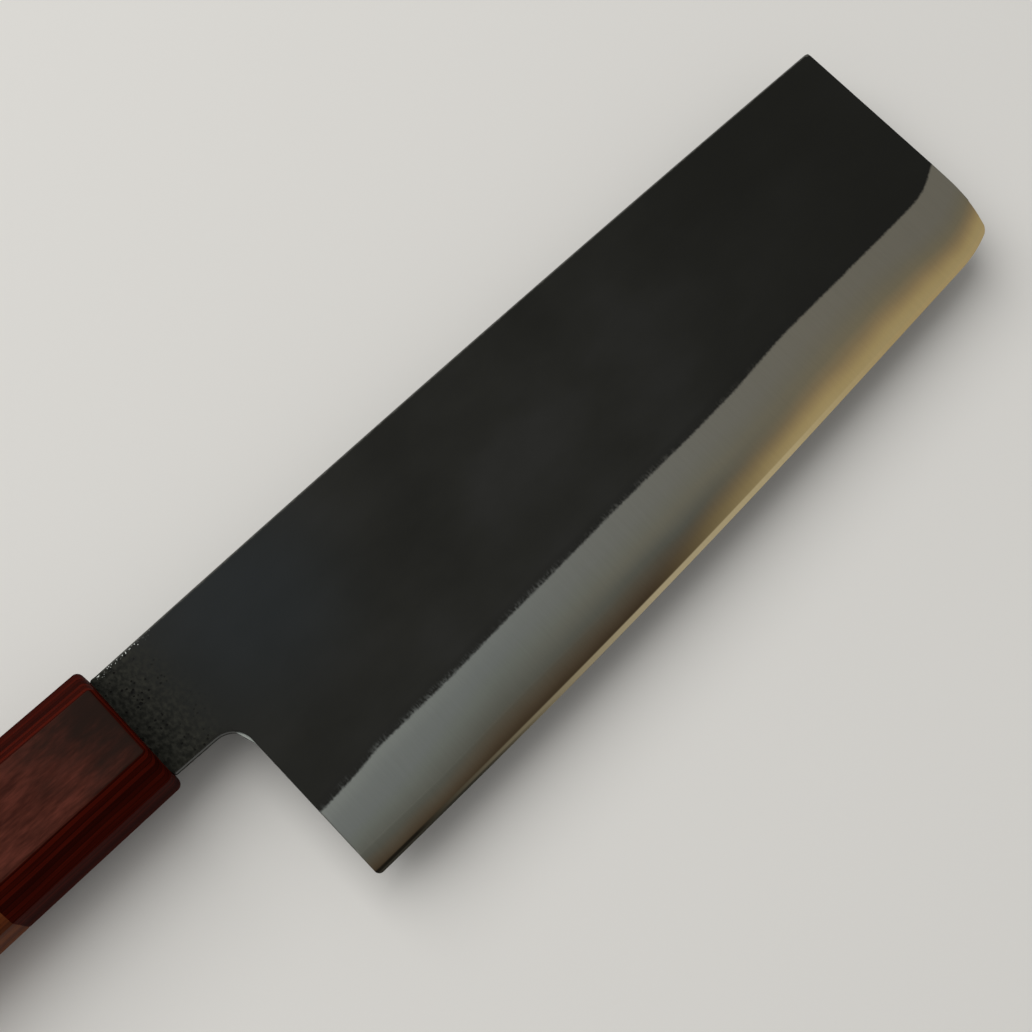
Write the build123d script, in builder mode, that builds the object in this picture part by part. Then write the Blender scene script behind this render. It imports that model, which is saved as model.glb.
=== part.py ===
from build123d import *
import os

# A laminated vegetable knife with a hidden tang and an eight-sided wooden handle.
# It lies on its left side: the tip points to +X, the spine to +Y and the edge to -Y.
# The origin is under the middle of the whole knife, at the height of the lowest face.
# Places along the knife are counted from the front face of the ferrule, forwards and
# backwards, heights from the axis of the handle, and thicknesses from the middle of the blade.
# All lengths are in millimetres.

# Blade, side view
neck_length = 13.0  # from the ferrule to the heel line
edge_length = 165.0  # from the heel line to the front line
heel_height = 56.0  # spine to edge at the heel
front_height = 50.5  # spine to edge at the front
spine_height = 10.3  # spine above the axis of the handle, at the ferrule
spine_rise = 0.8  # how much higher the spine ends at the front
spine_bow = 0.7  # how far the spine arches above a straight line
front_lean = 0.7  # how far the spine's corner stands ahead of the edge's corner
neck_height = 21.0  # at the ferrule
neck_flare = 0.3  # how much deeper the neck is at the heel line
belly_length = 115.0  # the curved stretch of the edge, from the heel forwards
front_turn_height = 13.0  # above the edge, where the front line starts to curve back to the tip
edge_turn_length = 12.0  # behind the front line, where the edge starts to curve up to the tip
tip_setback = 2.4  # behind the foot of the straight front line
tip_lift = 1.5  # above the end of the straight edge
choil_radius = 4.2
heel_corner_radius = 1.0
tip_corner_radius = 3.0
spine_corner_radius = 0.8
shoulder_radius = 0.5  # corners of the neck beside the ferrule

# Blade, thickness
neck_thickness = 3.4  # spine at the ferrule
front_thickness = 2.0  # spine at the front
flat_thinning = 0.9  # how much thinner the flats make it from the spine down to the heel's height
spine_chamfer = 0.35
bevel_width = 15.3  # ground bevel, from the edge up to the scale
edge_land = 0.1  # flat left on the very edge
micro_bevel_height = 0.8
micro_bevel_thickness = 0.32  # where the micro bevel meets the main bevel
tip_facet_length = 8.0  # how far behind the front line the bevel turns up
tip_facet_rise = 3.8  # how far it has turned up at the front line
core_neck_thickness = 1.04  # hard core at the ferrule
core_front_thickness = 0.64  # hard core at the front

# Tang
tang_length = 95.0
tang_root_height = 10.0
tang_root_thickness = 3.0
tang_end_height = 6.0
tang_end_thickness = 2.2

# Handle
handle_length = 130.0  # ferrule and body together
ferrule_length = 32.5
ferrule_height = 23.8  # at the front face
ferrule_width = 19.8
handle_growth = 1.0  # how far every face has moved outwards at the butt
rim_radius = 1.2  # front rim of the ferrule
butt_radius = 1.5
front_wall = 3.0  # wood left in front of the dowel
dowel_diameter = 14.0
dowel_end_wall = 9.5  # dowel left behind the slot
glue_line = 0.1  # between the dowel and its bore
slot_clearance = 0.3  # between the tang and its slot, all round
slot_relief = 1.5  # beyond the end of the tang
overrun = 2.0  # how far cutters reach past what they cut

# Shares of a section or a curve
side_flat_share = 0.563  # side flat of the octagon, of its height
top_flat_share = 0.505  # top and bottom flats, of its width
bevel_crown_share = 0.35  # how far the bevel bulges above a straight grind
bevel_reach_share = 1.25  # how far the bevel cutter's curve goes on past the border
station_shares = (-0.04, 0.1, 0.25, 0.4, 0.55, 0.7, 0.85, 1.03)  # sections of the bevel along the edge

# Datum: the middle of the knife's length and height, and its lowest face
blade_reach = neck_length + edge_length + front_lean
edge_below_axis = heel_height - spine_height
ferrule_face_x = (handle_length - blade_reach) / 2
axis_y = (edge_below_axis - ferrule_height / 2 - handle_growth) / 2
axis_z = ferrule_width / 2 + handle_growth
side_plane = Plane(origin=(ferrule_face_x, axis_y, axis_z))


def cross_plane(distance):
    """Section plane at a distance in front of the ferrule's face: its x is height, its y is thickness."""
    return Plane(origin=side_plane.from_local_coords((distance, 0, 0)), x_dir=(0, 1, 0), z_dir=(1, 0, 0))


def edge_height(distance):
    """Height of the edge: a parabola from the heel over the belly, then its tangent to the front."""
    rise = spine_height + spine_rise - front_height + edge_below_axis
    belly_rise = rise * belly_length / (2 * edge_length - belly_length)
    along = distance - neck_length
    if along < belly_length:
        return belly_rise * (along / belly_length) ** 2 - edge_below_axis
    return belly_rise * (2 * along / belly_length - 1) - edge_below_axis


def flat_plane(side, neck_half, front_half, thinning):
    """Tapered plane of a flat or of the core, facing outwards on the given side (+1 right, -1 left)."""
    along = Vector(blade_reach, 0, side * (front_half - neck_half))
    up = Vector(0, heel_height, side * thinning)
    corner = side_plane.from_local_coords((0, spine_height, side * neck_half))
    return Plane(origin=corner, x_dir=along, z_dir=along.cross(up) * side)


def blade_flat(side):
    """Plane of the blade's flat, which leans in towards the front and towards the edge."""
    return flat_plane(side, neck_thickness / 2, front_thickness / 2, flat_thinning / 2)


def core_face(side):
    """Plane where the hard core meets the cladding of one side."""
    return flat_plane(side, core_neck_thickness / 2, core_front_thickness / 2, 0)


def flat_half(distance, height):
    """Half thickness of the blade between its flats at a place in the side view."""
    along_share = distance / blade_reach
    down_share = (spine_height - height) / heel_height
    taper = (neck_thickness - front_thickness) * along_share
    return (neck_thickness - taper - flat_thinning * down_share) / 2


def handle_faces():
    """Planes of the handle's eight sides, facing outwards: each leaves the axis a little towards the butt."""
    side_flat = ferrule_height * side_flat_share
    top_flat = ferrule_width * top_flat_share
    quarter = [(ferrule_height / 2, top_flat / 2), (side_flat / 2, ferrule_width / 2)]
    half = quarter + [(-across, out) for across, out in reversed(quarter)]
    corners = [Vector(0, across, out) for across, out in half] + [Vector(0, -across, -out) for across, out in half]
    planes = []
    for first, second in zip(corners, corners[1:] + corners[:1]):
        edge = second - first
        outwards = edge.cross(Vector(1, 0, 0)).normalized()
        backwards = outwards * handle_growth - Vector(handle_length, 0, 0)
        corner = side_plane.from_local_coords(first)
        planes.append(Plane(origin=corner, x_dir=edge, z_dir=backwards.cross(edge)))
    return planes


def slot_section(share, clearance):
    """Height and thickness of the tang, or with clearance of its slot, at a share of the tang's length."""
    height = tang_root_height + (tang_end_height - tang_root_height) * share
    thickness = tang_root_thickness + (tang_end_thickness - tang_root_thickness) * share
    return height + 2 * clearance, thickness + 2 * clearance


# Tang, tapering backwards in height and thickness
with BuildPart() as tang:
    for tang_share in (0, 1):
        with BuildSketch(cross_plane(-tang_length * tang_share)):
            Rectangle(*slot_section(tang_share, 0))
    loft()

# Slot for the tang, through the ferrule's front wall and into the dowel
with BuildPart() as slot:
    slot_share = (tang_length + slot_relief) / tang_length
    for section_share in (0, slot_share):
        with BuildSketch(cross_plane(-tang_length * section_share)):
            Rectangle(*slot_section(section_share, slot_clearance))
    loft()

# Cutter for the convex bevel of the right side: sections across the edge, lofted along it
with BuildPart() as bevel_cutter:
    for station_share in station_shares:
        station = neck_length + edge_length * station_share
        low = edge_height(station)
        micro_half = micro_bevel_thickness / 2
        gain = flat_half(station, low + bevel_width) - micro_half
        bevel_points = []
        for curve_share in (0, bevel_reach_share / 2, bevel_reach_share):
            crown_share = bevel_crown_share * curve_share * (1 - curve_share)
            height = low + micro_bevel_height + (bevel_width - micro_bevel_height) * curve_share
            bevel_points.append((height, micro_half + gain * (curve_share + crown_share)))
        with BuildSketch(cross_plane(station)):
            with BuildLine():
                ground = ThreePointArc(*bevel_points)
                Polyline(
                    ground @ 1,
                    (bevel_points[-1][0], neck_thickness),
                    (low - overrun, neck_thickness),
                    (low - overrun, edge_land / 2),
                    (low, edge_land / 2),
                    ground @ 0,
                )
            make_face()
    loft()

# Blade forging: side view, tapered flats, eased spine, bevels on both sides, tip facets and tang
heel_edge = (neck_length, edge_height(neck_length))
front_edge = (neck_length + edge_length, edge_height(neck_length + edge_length))
front_turn = (front_edge[0] + front_lean * front_turn_height / front_height, front_edge[1] + front_turn_height)
edge_turn = (front_edge[0] - edge_turn_length, edge_height(front_edge[0] - edge_turn_length))
tip = (front_edge[0] - tip_setback, front_edge[1] + tip_lift)
belly_end = (neck_length + belly_length, edge_height(neck_length + belly_length))
neck_bottom = (0, spine_height - neck_height)
choil = (neck_length, spine_height - neck_height - neck_flare)
spine_back = (0, spine_height)
spine_middle = (blade_reach / 2, spine_height + spine_rise / 2 + spine_bow)
spine_front = (blade_reach, spine_height + spine_rise)

with BuildPart() as forging:
    with BuildSketch(side_plane) as side_view:
        with BuildLine():
            ThreePointArc(spine_back, spine_middle, spine_front)
            front_line = Line(spine_front, front_turn)
            TangentArc(front_turn, tip, tangent=front_line % 1)
            TangentArc(heel_edge, belly_end, tangent=(1, 0))
            edge_line = Line(belly_end, edge_turn)
            TangentArc(edge_turn, tip, tangent=edge_line % 1)
            Polyline(heel_edge, choil, neck_bottom, spine_back)
        make_face()
    extrude(amount=neck_thickness / 2, both=True)
    for blade_side in (1, -1):
        split(bisect_by=blade_flat(blade_side), keep=Keep.BOTTOM)
    spine_edges = forging.faces().sort_by(Axis.Y)[-1].edges().sort_by(SortBy.LENGTH)[-2:]
    chamfer(spine_edges, spine_chamfer)
    for corner, radius in (
        (spine_front, spine_corner_radius),
        (tip, tip_corner_radius),
        (heel_edge, heel_corner_radius),
        (choil, choil_radius),
        (neck_bottom, shoulder_radius),
        (spine_back, shoulder_radius),
    ):
        place = side_plane.from_local_coords((*corner, 0))
        fillet(forging.edges().filter_by(Axis.Z).sort_by_distance(place)[0], radius)
    add(bevel_cutter.part, mode=Mode.SUBTRACT)
    mirror(bevel_cutter.part, about=side_plane, mode=Mode.SUBTRACT)
    facet_start = blade_reach - tip_facet_length
    border_height = edge_height(facet_start) + bevel_width
    front_border = border_height + tip_facet_rise
    for blade_side in (1, -1):
        turn = Vector(facet_start, border_height, blade_side * flat_half(facet_start, border_height))
        end = Vector(blade_reach, front_border, blade_side * flat_half(blade_reach, front_border))
        low_point = Vector(*tip, blade_side * edge_land)
        outward = (end - turn).cross(turn - low_point) * blade_side
        facet = Plane(origin=side_plane.from_local_coords(turn), x_dir=end - turn, z_dir=outward)
        split(bisect_by=facet, keep=Keep.BOTTOM)
    add(tang.part)

# The three layers of the forging, parted along the faces of the hard core
with BuildPart() as blade_core:
    add(forging.part)
    for blade_side in (1, -1):
        split(bisect_by=core_face(blade_side), keep=Keep.BOTTOM)
blade_core.part.label = "blade_core"

with BuildPart() as cladding_right:
    add(forging.part)
    split(bisect_by=core_face(1), keep=Keep.TOP)
cladding_right.part.label = "cladding_right"

with BuildPart() as cladding_left:
    add(forging.part)
    split(bisect_by=core_face(-1), keep=Keep.TOP)
cladding_left.part.label = "cladding_left"

dowel_length = tang_length + slot_relief + dowel_end_wall - front_wall
stock_height = ferrule_height + 2 * (handle_growth + overrun)
stock_width = ferrule_width + 2 * (handle_growth + overrun)

# Ferrule: planed to eight sides, rounded at the front rim, slotted in front and bored behind for the dowel
with BuildPart() as ferrule:
    with BuildSketch(cross_plane(0)):
        Rectangle(stock_height, stock_width)
    extrude(amount=-ferrule_length)
    for side in handle_faces():
        split(bisect_by=side, keep=Keep.BOTTOM)
    fillet(ferrule.faces().sort_by(Axis.X)[-1].edges(), rim_radius)
    with BuildSketch(cross_plane(-front_wall)):
        Circle(dowel_diameter / 2)
    extrude(amount=-handle_length, mode=Mode.SUBTRACT)
    add(slot.part, mode=Mode.SUBTRACT)
ferrule.part.label = "ferrule"

# Handle body: carries the eight sides on to the butt, bored blind for the dowel
with BuildPart() as handle_body:
    with BuildSketch(cross_plane(-ferrule_length)):
        Rectangle(stock_height, stock_width)
    extrude(amount=ferrule_length - handle_length)
    for side in handle_faces():
        split(bisect_by=side, keep=Keep.BOTTOM)
    fillet(handle_body.faces().sort_by(Axis.X)[0].edges(), butt_radius)
    with BuildSketch(cross_plane(-front_wall)):
        Circle(dowel_diameter / 2)
    extrude(amount=-dowel_length, mode=Mode.SUBTRACT)
handle_body.part.label = "handle_body"

# Dowel: joins ferrule and body, and holds the tang in its slot
with BuildPart() as tang_dowel:
    with BuildSketch(cross_plane(-front_wall)):
        Circle(dowel_diameter / 2 - glue_line)
    extrude(amount=-dowel_length)
    add(slot.part, mode=Mode.SUBTRACT)
tang_dowel.part.label = "tang_dowel"

# Bedding adhesive: what is left of the slot around the tang
with BuildPart() as tang_adhesive:
    add(slot.part)
    add(tang.part, mode=Mode.SUBTRACT)
tang_adhesive.part.label = "tang_adhesive"

os.makedirs("parts", exist_ok=True)
export_step(blade_core.part, "parts/blade_core.step")
export_step(cladding_right.part, "parts/cladding_right.step")
export_step(cladding_left.part, "parts/cladding_left.step")
export_step(ferrule.part, "parts/ferrule.step")
export_step(handle_body.part, "parts/handle_body.step")
export_step(tang_dowel.part, "parts/tang_dowel.step")
export_step(tang_adhesive.part, "parts/tang_adhesive.step")
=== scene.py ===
"""Looks of a laminated vegetable knife: forge-black blade, ground bevels, octagonal handle of two woods.

Places on the knife are counted in millimetres from the ferrule's face, on the handle's axis: along towards
the tip, height towards the spine, and side towards the viewer. The frame itself is in metres.
"""

import logging
import math
from dataclasses import dataclass, field
from enum import Enum

import bmesh
import bpy
import numpy as np
from mathutils import Matrix, Vector


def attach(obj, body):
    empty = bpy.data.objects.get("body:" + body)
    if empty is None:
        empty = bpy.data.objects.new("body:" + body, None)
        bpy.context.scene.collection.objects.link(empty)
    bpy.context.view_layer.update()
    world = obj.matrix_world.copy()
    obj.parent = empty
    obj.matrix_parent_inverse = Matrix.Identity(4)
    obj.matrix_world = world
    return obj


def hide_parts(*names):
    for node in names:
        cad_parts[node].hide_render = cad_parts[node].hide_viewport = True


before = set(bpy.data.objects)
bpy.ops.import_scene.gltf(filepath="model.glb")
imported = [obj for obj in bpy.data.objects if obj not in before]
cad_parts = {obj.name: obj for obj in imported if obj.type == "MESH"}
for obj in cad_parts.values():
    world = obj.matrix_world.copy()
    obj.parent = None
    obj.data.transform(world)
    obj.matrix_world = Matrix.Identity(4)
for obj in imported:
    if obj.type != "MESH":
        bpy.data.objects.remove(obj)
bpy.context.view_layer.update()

MM = 0.001
FERRULE_FACE = np.array([-24.35, 16.4, 10.9])  # mm, in the frame of the CAD part
SHARP_ANGLE = math.radians(25.0)
WELD = 2e-7  # metres
TOLERANCE = 1e-6  # mm

log = logging.getLogger("knife")


class Side(Enum):
    """Side of the blade, by the sign of its thickness direction."""

    RIGHT = 1
    LEFT = -1


# Shapes


def ease(values: np.ndarray, start: float, end: float) -> np.ndarray:
    """Smooth step from 0 at start to 1 at end: t squared times (3 - 2t) on the clipped share t."""
    share = np.clip((values - start) / (end - start), 0.0, 1.0)
    return share * share * (3.0 - 2.0 * share)


def grid_quads(rows: int, columns: int, ring: bool = False, loop: bool = False) -> np.ndarray:
    """Quads of a grid of points, numbered row by row.

    Args:
        rows: number of rows.
        columns: number of points in a row.
        ring: joins the last column to the first.
        loop: joins the last row to the first.

    Returns:
        Array of four point numbers for each quad.
    """
    index = np.arange(rows * columns).reshape(rows, columns)
    if ring:
        index = np.hstack([index, index[:, :1]])
    if loop:
        index = np.vstack([index, index[:1]])
    corners = [index[:-1, :-1], index[:-1, 1:], index[1:, 1:], index[1:, :-1]]
    return np.stack(corners, axis=-1).reshape(-1, 4)


def close_layers(quads: np.ndarray, count: int) -> np.ndarray:
    """Faces of a slab: the quads, the same turned over a layer below, and walls along the open border.

    Args:
        quads: faces of the upper layer.
        count: points in a layer; the lower layer's numbers follow the upper's.

    Returns:
        Faces of the closed slab.
    """
    edges = np.concatenate([quads[:, [turn, (turn + 1) % 4]] for turn in range(4)])
    there = edges[:, 0] * count + edges[:, 1]
    back = edges[:, 1] * count + edges[:, 0]
    border = edges[~np.isin(there, back)]
    start, end = border[:, 0], border[:, 1]
    walls = np.stack([end, start, start + count, end + count], axis=-1)
    return np.concatenate([quads, quads[:, ::-1] + count, walls])


def make_piece(
    name: str,
    points: np.ndarray,
    faces: np.ndarray,
    material: bpy.types.Material,
    node: str,
    values: dict[str, np.ndarray] | None = None,
) -> bpy.types.Object:
    """Put a surface into the scene in place of a CAD node.

    Args:
        name: name of the piece.
        points: places in millimetres from the ferrule's face.
        faces: four point numbers for each face.
        material: finish of the piece.
        node: CAD node that the piece stands for.
        values: numbers or vectors at the points, by attribute name.

    Returns:
        The new object, riding on the root body.
    """
    mesh = bpy.data.meshes.new(name)
    mesh.from_pydata((points + FERRULE_FACE) * MM, [], faces)
    for label, numbers in (values or {}).items():
        kind, store = ("FLOAT_VECTOR", "vector") if numbers.ndim == 2 else ("FLOAT", "value")
        data = mesh.attributes.new(label, kind, "POINT").data
        data.foreach_set(store, numbers.astype(np.float32).ravel())
    cleaned = bmesh.new()
    cleaned.from_mesh(mesh)
    bmesh.ops.remove_doubles(cleaned, verts=cleaned.verts, dist=WELD)
    loose = [point for point in cleaned.verts if not point.link_faces]
    bmesh.ops.delete(cleaned, geom=loose, context="VERTS")
    cleaned.to_mesh(mesh)
    cleaned.free()
    mesh.shade_smooth()
    mesh.set_sharp_from_angle(angle=SHARP_ANGLE)
    mesh.materials.append(material)
    piece = bpy.data.objects.new(name, mesh)
    bpy.context.scene.collection.objects.link(piece)
    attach(piece, "root")
    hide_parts(node)
    log.info("%s: %d faces", name, len(mesh.polygons))
    return piece


def steps(*marks: tuple[float, int]) -> np.ndarray:
    """Rising numbers in stretches of even steps.

    Args:
        marks: where each stretch ends, and how many steps lead there from the mark before.

    Returns:
        The numbers, from the first mark to the last.
    """
    stretches = [np.array([marks[0][0]])]
    for (start, _), (end, count) in zip(marks, marks[1:]):
        stretches.append(np.linspace(start, end, count + 1)[1:])
    return np.concatenate(stretches)


# Blade


@dataclass(frozen=True)
class BladeForm:
    """Sizes of the blade in millimetres, and the curves and thicknesses that follow from them."""

    neck_length: float = 13.0
    edge_length: float = 165.0
    front_lean: float = 0.7
    heel_height: float = 56.0
    spine_height: float = 10.3
    spine_rise: float = 0.8
    spine_bow: float = 0.7
    front_height: float = 50.5
    neck_height: float = 21.0
    neck_flare: float = 0.3
    belly_length: float = 115.0
    front_turn_height: float = 13.0
    front_turn_radius: float = 28.5
    edge_turn_length: float = 12.0
    edge_turn_radius: float = 28.9
    tip_corner: float = 0.9
    choil_radius: float = 4.2
    heel_radius: float = 1.0
    spine_corner_radius: float = 0.8
    shoulder_radius: float = 0.5
    neck_thickness: float = 3.4
    front_thickness: float = 2.0
    flat_thinning: float = 0.9
    spine_chamfer: float = 0.35
    eased_edge: float = 0.1
    edge_land: float = 0.1
    micro_height: float = 0.8
    micro_thickness: float = 0.32
    bevel_crown: float = 0.35
    border_at: tuple[float, ...] = (
        13, 22, 26.5, 45, 56, 84, 92, 104, 117, 124, 131,
        139, 150, 160, 168, 171, 173, 174.7, 176.3, 177.5, 179,
    )
    border_width: tuple[float, ...] = (
        13.8, 14.4, 15.05, 15.1, 15.5, 15.65, 15.6, 15.3, 15.25, 15.6, 15.85,
        15.6, 15.3, 15.05, 14.9, 15.0, 15.45, 16.05, 16.75, 17.35, 18.1,
    )
    core_at: tuple[float, ...] = (13, 30, 52, 70, 88, 104, 121, 138, 150, 162, 179)
    core_width: tuple[float, ...] = (4.7, 4.5, 4.9, 4.6, 5.1, 4.8, 5.3, 5.8, 5.2, 5.0, 5.4)
    tang_length: float = 95.0
    tang_root: tuple[float, float] = (10.0, 3.0)
    tang_end: tuple[float, float] = (6.0, 2.2)

    @property
    def reach(self) -> float:
        """Length from the ferrule to the front of the spine."""
        return self.neck_length + self.edge_length + self.front_lean

    def spine(self, along: np.ndarray) -> np.ndarray:
        """Height of the spine: a straight rise with a shallow parabola on it."""
        share = along / self.reach
        return self.spine_height + self.spine_rise * share + self.spine_bow * 4.0 * share * (1.0 - share)

    def edge_line(self, along: np.ndarray) -> np.ndarray:
        """Height of the edge but for its turn at the tip: a parabola over the belly, then its tangent.

        Args:
            along: places along the blade.

        Returns:
            Heights over the axis.
        """
        low = self.spine_height - self.heel_height
        rise = self.spine_height + self.spine_rise - self.front_height - low
        belly_rise = rise * self.belly_length / (2.0 * self.edge_length - self.belly_length)
        share = (along - self.neck_length) / self.belly_length
        return low + belly_rise * np.where(share < 1.0, np.maximum(share, 0.0) ** 2, 2.0 * share - 1.0)

    def turned(self, past: np.ndarray, radius: float) -> np.ndarray:
        """How far an arc has left its tangent: radius less the root of radius squared less past squared."""
        return radius - np.sqrt(radius**2 - np.clip(past, 0.0, radius * 0.9) ** 2)

    def edge(self, along: np.ndarray) -> np.ndarray:
        """Height of the edge, which turns up in an arc towards the tip."""
        start = self.neck_length + self.edge_length - self.edge_turn_length
        return self.edge_line(along) + self.turned(along - start, self.edge_turn_radius)

    def neck_bottom(self, along: np.ndarray) -> np.ndarray:
        """Height of the neck's underside, level with the choil beyond the heel line."""
        share = np.minimum(along / self.neck_length, 1.0)
        return self.spine_height - self.neck_height - self.neck_flare * share

    def front(self, height: np.ndarray) -> np.ndarray:
        """Place of the front line, which leans out to the spine and turns back in an arc at the tip.

        Args:
            height: heights over the axis.

        Returns:
            Places along the blade.
        """
        top = self.spine_height + self.spine_rise
        straight = self.reach - self.front_lean * (top - height) / self.front_height
        turn_start = top - self.front_height + self.front_turn_height
        return straight - self.turned(turn_start - height, self.front_turn_radius)

    def table(self, along: np.ndarray, places: tuple[float, ...], widths: tuple[float, ...]) -> np.ndarray:
        """Widths between measured ones: the straight line between them, averaged over a few millimetres.

        Args:
            along: places along the blade.
            places: where the widths were measured.
            widths: the measured widths.

        Returns:
            Widths at the places asked for.
        """
        reaches = np.array([-1.6, -0.8, 0.0, 0.8, 1.6])
        weights = np.array([0.15, 0.22, 0.26, 0.22, 0.15])
        near = np.asarray(along, float)[..., None] + reaches
        return (np.interp(near, places, widths) * weights).sum(axis=-1)

    def border(self, along: np.ndarray) -> np.ndarray:
        """Width of the ground bevel, edge to scale; it was measured from the edge's line without its turn."""
        return self.table(along, self.border_at, self.border_width) + self.edge_line(along) - self.edge(along)

    def core_line(self, along: np.ndarray) -> np.ndarray:
        """How far above the edge the hard core comes out between its claddings."""
        return self.table(along, self.core_at, self.core_width)

    def flat_half(self, along: np.ndarray, height: np.ndarray) -> np.ndarray:
        """Half thickness between the flats, thinning evenly towards the front and the edge.

        Args:
            along: places along the blade.
            height: heights over the axis.

        Returns:
            Half thicknesses.
        """
        taper = (self.neck_thickness - self.front_thickness) * along / self.reach
        thinning = self.flat_thinning * (self.spine_height - height) / self.heel_height
        return (self.neck_thickness - taper - thinning) / 2.0

    def bevel_half(self, along: np.ndarray, above: np.ndarray) -> np.ndarray:
        """Half thickness on the bevel: straight micro bevel, then the curve s + crown s (1 - s) to the flat.

        Args:
            along: places along the blade.
            above: heights above the edge.

        Returns:
            Half thicknesses.
        """
        width = self.border(along)
        micro = self.micro_thickness / 2.0
        share = np.clip((above - self.micro_height) / (width - self.micro_height), 0.0, None)
        gain = self.flat_half(along, self.edge(along) + width) - micro
        curve = micro + gain * (share + self.bevel_crown * share * (1.0 - share))
        rising = self.edge_land / 2.0 + (micro - self.edge_land / 2.0) * above / self.micro_height
        return np.where(above < self.micro_height, rising, curve)

    def core_half(self, along: np.ndarray) -> np.ndarray:
        """Half thickness of the hard core, so that it meets the bevel on the core line."""
        along = np.maximum(along, self.neck_length)
        return self.bevel_half(along, self.core_line(along))


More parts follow.
